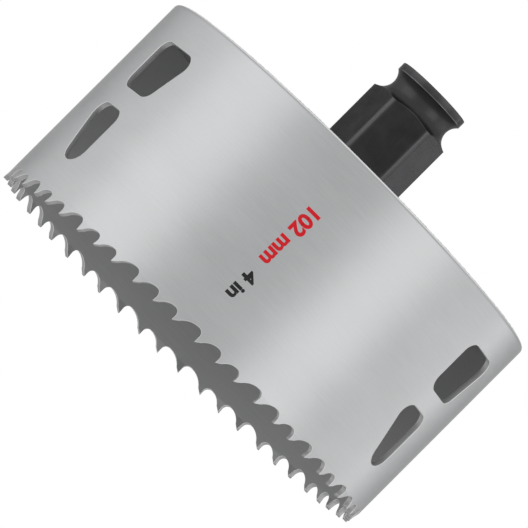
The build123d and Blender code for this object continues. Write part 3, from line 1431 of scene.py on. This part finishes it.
@dataclass
class HexAdapter:
    """The quick-change shank: hexagon, ball groove, collar, bore and threaded stud, in one piece.

    Rings of corners make up its skin. Fields that list rings are in millimetres or in shares of the bore, and
    flat_columns is in degrees from the middle of a flat.
    """

    base: float = 51.1 * MM
    top: float = 76.0 * MM
    across_flats: float = 18.0 * MM
    turned_radius: float = 10.15 * MM
    groove_radius: float = 3.3 * MM
    groove_steps: int = 40
    waist_radius: float = 7.65 * MM
    groove_from_end: float = 4.3 * MM
    collar_radius: float = 8.85 * MM
    collar_edge: float = 0.14 * MM
    collar_edge_steps: int = 6
    bore_radius: float = 5.0 * MM
    bore_edge: float = 0.5 * MM
    bore_edge_steps: int = 4
    stud_radius: float = 7.9 * MM
    stud_length: float = 6.3 * MM
    thread_pitch: float = 1.41 * MM
    thread_depth: float = 0.75 * MM
    thread_steps: int = 10
    thread_run_out: float = 0.6
    softness: float = 0.10 * MM
    # Painted highlights: a light line where the flats meet the turned outline, light strips on the turned
    # corners and a faint line on the collar's top edge.
    meeting_painted_highlight: float = 0.4
    corner_painted_highlight: float = 0.36
    collar_edge_painted_highlight: float = 0.3
    shaft_rises: tuple[float, ...] = (0, 0.12, 0.3, 1, 3, 6, 9, 12, 15)
    groove_drops: tuple[float, ...] = (1.2, 0.6, 0.3, 0.15)
    # The second number of each collar ring paints a highlight line along the collar's lower arris.
    collar_rises: tuple[Point, ...] = ((0.03, 1.0), (0.12, 1.0), (0.2, 0.0), (0.6, 0.0))
    end_face_radii: tuple[float, ...] = (7.6, 6.6, 5.9, 5.6)
    bore_shares: tuple[float, ...] = (0.03, 0.25, 0.5, 0.75, 0.97, 1.0)
    stud_end_radii: tuple[float, ...] = (5.15, 6.2, 7.1)
    shoulder_radii: tuple[float, ...] = (8.1, 8.6)
    flat_columns: tuple[float, ...] = (
        0, 2.5, 5, 7.5, 10, 12.5, 15, 17, 19, 20.5, 22, 23.3, 24.5, 25.4, 26.1, 26.8, 27.3, 27.7, 28.1,
        28.6, 29.2,
    )

    def columns(self) -> list[float]:
        """Azimuths of the corners round the shank, close together at the hexagon's corners."""
        half = sorted({*self.flat_columns, *(-angle for angle in self.flat_columns), 30.0})
        return [radians(60 * flat + 30 + angle) for flat in range(6) for angle in half]

    def softened(self, first: float, second: float) -> float:
        """The smaller of two radii, with the corner between them rounded.

        Args:
            first: One radius.
            second: The other.

        Returns:
            The rounded radius.
        """
        k = self.softness * 2
        share = max(k - abs(first - second), 0.0) / k
        return min(first, second) - share * share * k / 4

    def turned_profile(self) -> list[Triple]:
        """The turned outline above the plate.

        Returns:
            Height, radius and wear with painted highlight of each ring, from the base to the top.
        """
        middle = self.top - self.groove_from_end
        centre = self.waist_radius + self.groove_radius
        low_turn = acos((centre - self.turned_radius) / self.groove_radius)
        high_turn = acos((centre - self.collar_radius) / self.groove_radius)
        low_edge = middle - self.groove_radius * sin(low_turn)
        high_edge = middle + self.groove_radius * sin(high_turn)
        rows = [(self.base + rise * MM, self.turned_radius, 0.0) for rise in self.shaft_rises]
        rows += [(low_edge - drop * MM, self.turned_radius, 0.0) for drop in self.groove_drops]
        for step in range(self.groove_steps + 1):
            turn = -low_turn + (low_turn + high_turn) * step / self.groove_steps
            radius = centre - self.groove_radius * cos(turn)
            rows.append((middle + self.groove_radius * sin(turn), radius, 0.0))
        rows += [(high_edge + rise * MM, self.collar_radius, wear_and_highlight_share) for rise, wear_and_highlight_share in self.collar_rises]
        edge_start = self.top - self.collar_edge
        for turn in quarter_turn(self.collar_edge_steps):
            radius = self.collar_radius - self.collar_edge * (1 - cos(turn))
            rows.append((edge_start + self.collar_edge * sin(turn), radius, self.collar_edge_painted_highlight))
        return rows

    def inner_profile(self) -> list[Triple]:
        """The end face, the bore and the stud's end.

        Returns:
            Height, radius and wear of each ring, from the collar through the bore to the stud.
        """
        rows = [(self.top, radius * MM, 0.0) for radius in self.end_face_radii]
        for step in range(self.bore_edge_steps + 1):
            share = step / self.bore_edge_steps
            radius = self.bore_radius + self.bore_edge * (1 - share)
            # The bore edge's first and last rings carry a full bright edge mark: wear and painted highlight.
            rows.append((self.top - self.bore_edge * share, radius, 1.0 if share in (0, 1) else 0.0))
        start = self.top - self.bore_edge
        bottom = self.base - self.stud_length
        rows += [(start - (start - bottom) * share, self.bore_radius, 0.0) for share in self.bore_shares]
        rows += [(bottom, radius * MM, 0.0) for radius in self.stud_end_radii]
        return rows

    def milled_corner(self, radius: float, wear_and_highlight_share: float, azimuth: float) -> Triple:
        """A corner of the outside, where the hexagon cuts the turned outline.

        Args:
            radius: The turned outline's radius.
            wear_and_highlight_share: Its wear and painted highlight.
            azimuth: Where the corner is.

        Returns:
            The corner's radius, its wear and painted highlight, and 1 where it is turned.
        """
        flat = self.across_flats / 2 / cos((azimuth % (pi / 3)) - pi / 6)
        # Painted highlights: a line where the hexagon meets the turned outline, and the turned corner strips.
        meeting_highlight = self.meeting_painted_highlight * max(0.0, 1 - abs(flat - radius) / (2 * self.softness))
        turned = 1.0 if radius < flat else 0.0
        corner = self.corner_painted_highlight if turned and radius == self.turned_radius else 0.0
        return self.softened(flat, radius), max(wear_and_highlight_share, meeting_highlight, corner), turned

    def thread_corner(self, height: float, start: float, end: float, azimuth: float) -> Triple:
        """A corner of the stud's thread.

        Args:
            height: Its height.
            start: How far the thread has grown from the stud's end, from 0 to 1.
            end: How much of it is left towards the shoulder, from 1 to 0.
            azimuth: Where the corner is.

        Returns:
            The corner's radius, no wear and no painted highlight, and 1 because it is turned.
        """
        phase = (height / self.thread_pitch - azimuth / (2 * pi)) % 1.0
        valley = min(1.0, max(0.0, 1.25 - abs(phase - 0.5) * 3.2))
        lead = (1 - start) * self.thread_depth
        return self.stud_radius - max(lead, valley * self.thread_depth * end), 0.0, 1.0

    def rings(self) -> list[tuple[float, Callable[[float], Triple]]]:
        """All rings of the skin: up the outside, down the bore and up the stud.

        Returns:
            The height of each, and a function from an azimuth to its corner's radius, wear with painted
            highlight, and turned share.
        """
        rings = [(height, partial(self.milled_corner, *rest)) for height, *rest in self.turned_profile()]
        rings += [(height, partial(self.round_corner, *rest)) for height, *rest in self.inner_profile()]
        bottom = self.base - self.stud_length
        count = round(self.stud_length / self.thread_pitch * self.thread_steps)
        for number in range(count + 1):
            height = bottom + self.stud_length * number / count
            start = min(1.0, number / self.thread_steps)
            end = min(1.0, (count - number) / (self.thread_steps * self.thread_run_out))
            rings.append((height, partial(self.thread_corner, height, start, end)))
        rings += [(self.base, partial(self.round_corner, radius * MM, 0.0)) for radius in self.shoulder_radii]
        return rings

    def round_corner(self, radius: float, wear_and_highlight_share: float, azimuth: float) -> Triple:
        """A corner of a plain turned ring, the same at every azimuth."""
        return radius, wear_and_highlight_share, 1.0

    def build(self) -> bpy.types.Object:
        """Builds the adapter as one closed skin and lets it stand for its node.

        Returns:
            The piece.
        """
        builder = MeshBuilder("worn", "turned")
        azimuths = self.columns()
        rows = []
        for height, corner in self.rings():
            row = []
            for azimuth in azimuths:
                radius, worn, turned = corner(azimuth)
                place = Vector((radius * cos(azimuth), radius * sin(azimuth), height))
                row.append(builder.point(place, worn=worn, turned=turned))
            rows.append(row)
        builder.rows([*rows, rows[0]], True)
        mesh = builder.mesh("hex_adapter_steel")
        open_edges = close_mesh(mesh)
        piece = make_piece("hex_shank", mesh, BlackOxide().material())
        piece.modifiers.new("even_shading", "WEIGHTED_NORMAL").weight = 60
        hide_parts("hex_adapter")
        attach(piece, "root")
        log.info("hex adapter: %d faces, %d open edges", len(mesh.polygons), open_edges)
        return piece


# Size mark

@dataclass
class SizeMark:
    """Plain size figures printed on the front of the band, reading towards the teeth."""

    radius: float = 50.998 * MM
    azimuth: float = radians(-90)
    cut_step: float = 0.5 * MM
    boldness: float = 0.038
    curve_steps: int = 4
    red: MarkingInk = MarkingInk("red_ink", (0.84, 0.012, 0.022))
    black: MarkingInk = MarkingInk("black_ink", (0.012, 0.012, 0.013))

    def build(self) -> None:
        """Prints the sizes in millimetres and inches."""
        self.line("size_in_millimetres", "102 mm", self.red, 36.6 * MM, 21.8 * MM, 3.6 * MM)
        self.line("size_in_inches", "4 in", self.black, 18.8 * MM, 11.8 * MM, 3.2 * MM)

    def line(self, name: str, words: str, ink: MarkingInk, start: float, end: float, height: float) -> None:
        """Prints one line of figures on the band.

        Args:
            name: Name of the piece.
            words: What is printed.
            ink: Its finish.
            start: Height at which the line begins.
            end: Height at which it ends.
            height: Height of the figures, which lies along the band.
        """
        curve = bpy.data.curves.new(name, "FONT")
        curve.body = words
        curve.resolution_u = self.curve_steps
        curve.offset = self.boldness
        carrier = bpy.data.objects.new(name, curve)
        bpy.context.scene.collection.objects.link(carrier)
        carrier_now = carrier.evaluated_get(bpy.context.evaluated_depsgraph_get())
        mesh = bpy.data.meshes.new_from_object(carrier_now)
        bpy.data.objects.remove(carrier)
        xs = [vertex.co.x for vertex in mesh.vertices]
        ys = [vertex.co.y for vertex in mesh.vertices]
        wide, tall = max(xs) - min(xs), max(ys) - min(ys)
        for vertex in mesh.vertices:
            down = (vertex.co.x - min(xs)) / wide * (start - end)
            across = ((vertex.co.y - min(ys)) / tall - 0.5) * height
            vertex.co = Vector((across, 0, start - down))
        work = bmesh.new()
        work.from_mesh(mesh)
        steps = ceil(height / self.cut_step)
        for step in range(1, steps):
            parts = [*work.verts, *work.edges, *work.faces]
            cut = Vector((-height / 2 + height * step / steps, 0, 0))
            bmesh.ops.bisect_plane(work, geom=parts, plane_co=cut, plane_no=Vector((1, 0, 0)))
        for vertex in work.verts:
            turn = self.azimuth + vertex.co.x / self.radius
            vertex.co = Vector((self.radius * cos(turn), self.radius * sin(turn), vertex.co.z))
        for polygon in work.faces:
            polygon.normal_update()
            middle = polygon.calc_center_median()
            if polygon.normal.dot(Vector((middle.x, middle.y, 0))) < 0:
                polygon.normal_flip()
        work.to_mesh(mesh)
        work.free()
        piece = make_piece(name, mesh, ink.material())
        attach(piece, "root")
        log.info("%s: %d faces", name, len(mesh.polygons))


# Studio

@dataclass
class Studio:
    """Pale floor, soft lamps and the camera of the photograph."""

    elevation: float = radians(-4.33)
    roll: float = radians(45)
    target: Vector = field(default_factory=lambda: Vector((0.149, 0.0, 25.41)) * MM)
    frame_width: float = 110.14 * MM
    lens: float = 1600.0
    sensor: float = 36.0
    clip_range: tuple[float, float] = (0.1, 20.0)
    floor_size: float = 3.0
    floor_drop: float = 0.05 * MM
    floor_level: float = 0.88
    floor_fade: tuple[float, float] = (0.06, 0.5)
    floor_glow: float = 0.6
    even_light: float = 0.45
    lamp_distance: float = 0.9

    def build(self) -> None:
        """Sets up the camera, the floor, the world and the lamps."""
        self.camera()
        self.floor()
        self.world()
        self.lamps()

    def camera(self) -> None:
        """Puts the camera where the photograph was taken from, turned so that the saw lies at 45 degrees."""
        camera = bpy.data.cameras.new("photo_camera")
        camera.lens = self.lens
        camera.sensor_width = self.sensor
        camera.clip_start, camera.clip_end = self.clip_range
        view = Vector((0, cos(self.elevation), -sin(self.elevation)))
        side = Vector((1, 0, 0))
        up = side.cross(view)
        turned_side = side * cos(self.roll) + up * sin(self.roll)
        turned_up = up * cos(self.roll) - side * sin(self.roll)
        turn = Matrix((turned_side, turned_up, -view)).transposed()
        distance = self.frame_width * self.lens / self.sensor
        holder = bpy.data.objects.new("photo_camera", camera)
        holder.matrix_world = Matrix.Translation(self.target - view * distance) @ turn.to_4x4()
        bpy.context.scene.collection.objects.link(holder)
        bpy.context.scene.camera = holder

    def floor(self) -> None:
        """Lays a pale floor that shows from above only and lets light through to the cup's mouth."""
        half = self.floor_size / 2
        mesh = bpy.data.meshes.new("studio_floor")
        corners = [(-half, -half, 0), (half, -half, 0), (half, half, 0), (-half, half, 0)]
        mesh.from_pydata(corners, [], [(0, 1, 2, 3)])
        material = bpy.data.materials.new("studio_floor_paper")
        material.use_nodes = True
        sheet = NodeSheet(material.node_tree)
        place = sheet.out("ShaderNodeTexCoord", output="Object")
        distance = sheet.out("ShaderNodeVectorMath", {"operation": "LENGTH"}, {0: place}, "Value")
        glow_share = distance.ramp(*self.floor_fade, self.floor_glow, 1.0)
        paper = sheet.out("ShaderNodeBsdfDiffuse", None, {"Color": grey(self.floor_level)})
        glow = sheet.out("ShaderNodeEmission", None, {"Color": grey(1.0), "Strength": 1.0})
        seen = sheet.out("ShaderNodeLightPath", output="Is Camera Ray")
        white = sheet.out("ShaderNodeMixShader", None, {0: glow_share * seen, 1: paper, 2: glow})
        back = sheet.out("ShaderNodeNewGeometry", output="Backfacing")
        clear = sheet.out("ShaderNodeBsdfTransparent")
        surface = sheet.out("ShaderNodeMixShader", None, {0: back, 1: white, 2: clear})
        sheet.node("ShaderNodeOutputMaterial", None, {"Surface": surface})
        mesh.materials.append(material)
        floor = bpy.data.objects.new("studio_floor", mesh)
        bpy.context.scene.collection.objects.link(floor)
        floor.location.z = -self.floor_drop
        floor.visible_shadow = False
        floor.visible_diffuse = False
        floor.visible_glossy = False

    def world(self) -> None:
        """Lights all sides evenly, and shows white to the camera and in the steel."""
        world = bpy.data.worlds.new("studio")
        world.use_nodes = True
        bpy.context.scene.world = world
        sheet = NodeSheet(world.node_tree)
        path = sheet.node("ShaderNodeLightPath")
        names = ("Is Camera Ray", "Is Glossy Ray", "Is Transmission Ray")
        camera, glossy, through = (Signal(sheet, path.outputs[name]) for name in names)
        seen = camera.math("MAXIMUM", glossy).math("MAXIMUM", through)
        soft = sheet.out("ShaderNodeBackground", None, {"Color": grey(1.0), "Strength": self.even_light})
        white = sheet.out("ShaderNodeBackground", None, {"Color": grey(1.0), "Strength": 1.0})
        both = sheet.out("ShaderNodeMixShader", None, {0: seen, 1: soft, 2: white})
        sheet.node("ShaderNodeOutputWorld", None, {"Surface": both})

    def lamps(self) -> None:
        """Hangs soft lamps either side of the camera."""
        self.lamp("left_softbox", -63, 5, (0.8, 0.9), 2.15)
        self.lamp("left_edge_light", -117, 5, (0.85, 0.9), 0.98)
        self.lamp("right_softbox", 46, 5, (0.6, 0.9), 1.75)
        self.lamp("right_edge_light", 111, 5, (1.1, 0.9), 1.40)
        self.lamp("right_rim_light", 120, 6, (0.10, 0.20), 0.17)

    def lamp(self, name: str, azimuth: float, elevation: float, size: Sequence[float], power: float) -> None:
        """Hangs one lamp that faces the saw.

        Args:
            name: Its name.
            azimuth: Degrees from the front towards +X.
            elevation: Degrees above the floor.
            size: Width and height in metres.
            power: Watts.
        """
        light = bpy.data.lights.new(name, "AREA")
        light.shape = "RECTANGLE"
        light.size, light.size_y = size
        light.energy = power
        turn, rise = radians(azimuth), radians(elevation)
        away = Vector((sin(turn) * cos(rise), -cos(turn) * cos(rise), sin(rise)))
        holder = bpy.data.objects.new(name, light)
        facing = away.to_track_quat("Z", "Y").to_matrix().to_4x4()
        holder.matrix_world = Matrix.Translation(self.target + away * self.lamp_distance) @ facing
        bpy.context.scene.collection.objects.link(holder)


def main() -> None:
    """Builds the saw piece by piece and lights it."""
    logging.basicConfig(level=logging.INFO, format="%(name)s: %(message)s")
    bpy.context.scene.view_settings.view_transform = "Standard"
    Studio().build()
    SawBand().build()
    BackPlate().build()
    HexAdapter().build()
    SizeMark().build()


if __name__ == "__main__":
    main()
